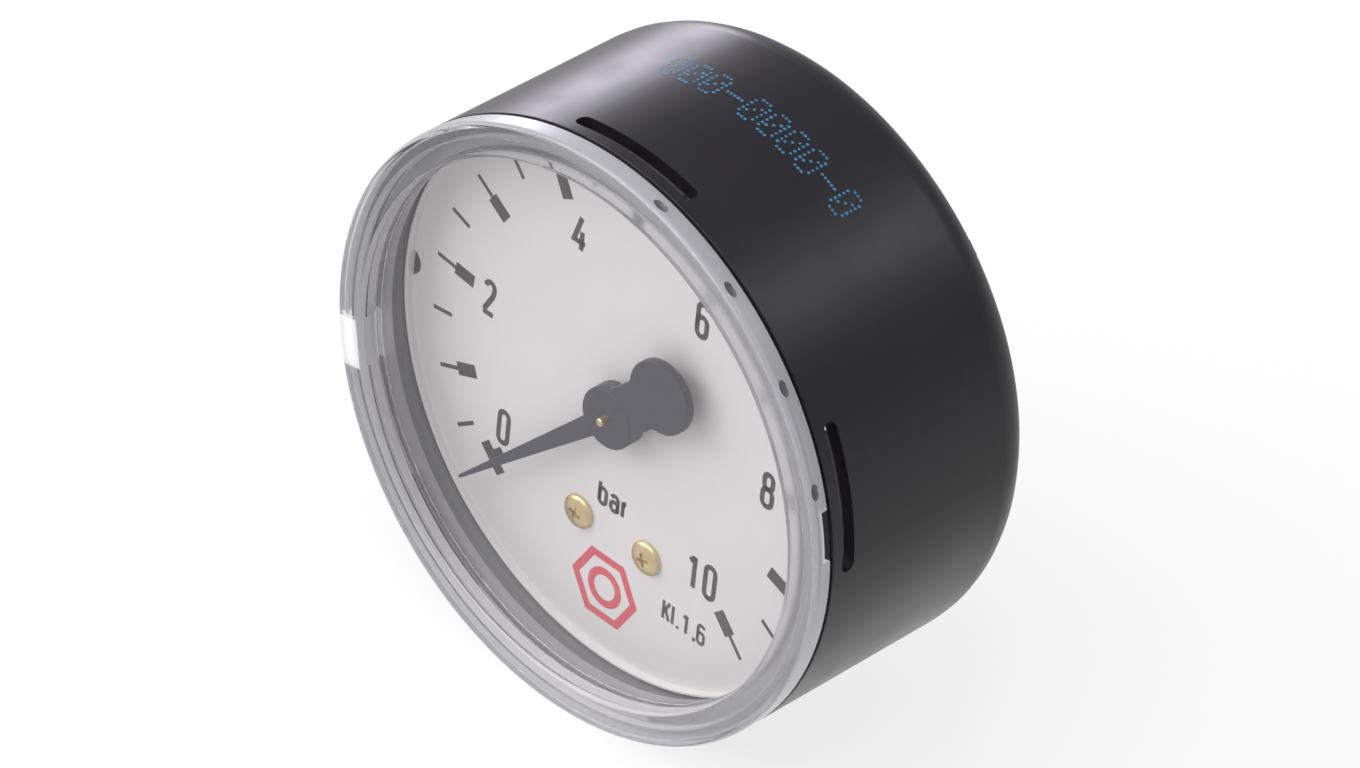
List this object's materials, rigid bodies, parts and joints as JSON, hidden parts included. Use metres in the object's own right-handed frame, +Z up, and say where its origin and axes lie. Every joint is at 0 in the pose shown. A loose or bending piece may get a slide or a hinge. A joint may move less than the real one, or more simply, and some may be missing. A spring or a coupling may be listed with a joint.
{
  "type": "pressure gauge",
  "caption": "Round dial pressure gauge with a Bourdon tube movement, a clear clip-in window, a black moulded case and a threaded back connection.",
  "frame": {"origin": "centre of the sealing shoulder at the foot of the process thread", "axes": "+Y along the gauge axis from the dial to the process, +Z up on the dial, +X to the right of a reader"},
  "size_m": [0.063, 0.0503, 0.063],
  "materials": {
    "case": "black moulded ABS, satin",
    "window": "clear moulded polycarbonate, polished",
    "dial": "white lacquered aluminium with printed scale",
    "pointer": "black moulded plastic",
    "brass_turned": "turned brass",
    "brass_forged": "forged and machined brass",
    "brass_sheet": "stamped brass sheet",
    "bronze": "drawn phosphor bronze",
    "steel": "ground steel",
    "zinc_steel": "zinc-plated steel"
  },
  "bodies": {
    "housing": {"case": "case", "window": "window", "stem": "brass_forged", "restrictor_screw": "brass_turned", "case_screws": "zinc_steel", "dial": "dial", "dial_screws": "brass_turned", "dial_posts": "brass_turned", "movement_back_plate": "brass_sheet", "movement_front_plate": "brass_sheet", "movement_pillars": "brass_turned", "movement_screws": "brass_turned", "movement_mount_screws": "zinc_steel", "bourdon_tube": "bronze", "hairspring": "bronze", "hairspring_stud": "brass_turned"},
    "sector": {"sector_gear": "brass_sheet", "sector_arbor": "steel", "sector_pin": "steel"},
    "pointer_shaft": {"pinion_arbor": "brass_turned", "pointer": "pointer", "pointer_bush": "brass_turned", "hairspring_collet": "brass_turned"},
    "link": {"link": "brass_sheet", "link_pin": "steel"},
    "tube_tip": {"tube_tip": "brass_turned"}
  },
  "joints": [
    {"name": "sector_turn", "type": "hinge", "parent": "housing", "child": "sector", "pos_m": [0, -0.0202, -0.012], "axis": [0, 1, 0], "range_deg": [-30.3, 0], "stiffness_Nm_per_rad": 0.004},
    {"name": "pointer_turn", "type": "hinge", "parent": "housing", "child": "pointer_shaft", "pos_m": [0, -0.0202, 0], "axis": [0, 1, 0], "range_deg": [0, 272.7], "deforming": ["hairspring"]},
    {"name": "link_turn", "type": "hinge", "parent": "sector", "child": "link", "pos_m": [-0.00119, -0.0192, -0.01644], "axis": [0, 1, 0], "range_deg": [0, 23.3]},
    {"name": "tube_flex", "type": "hinge", "parent": "housing", "child": "tube_tip", "pos_m": [-0.00276, -0.0134, 0.00565], "axis": [0, 1, 0], "range_deg": [-5.9, 0], "deforming": ["bourdon_tube"]}
  ],
  "couplings": [
    {"joint": "pointer_turn", "follows": "sector_turn", "ratio": -9},
    {"joint": "link_turn", "follows": "sector_turn", "ratio": -0.76606},
    {"joint": "tube_flex", "follows": "sector_turn", "ratio": 0.19408}
  ]
}
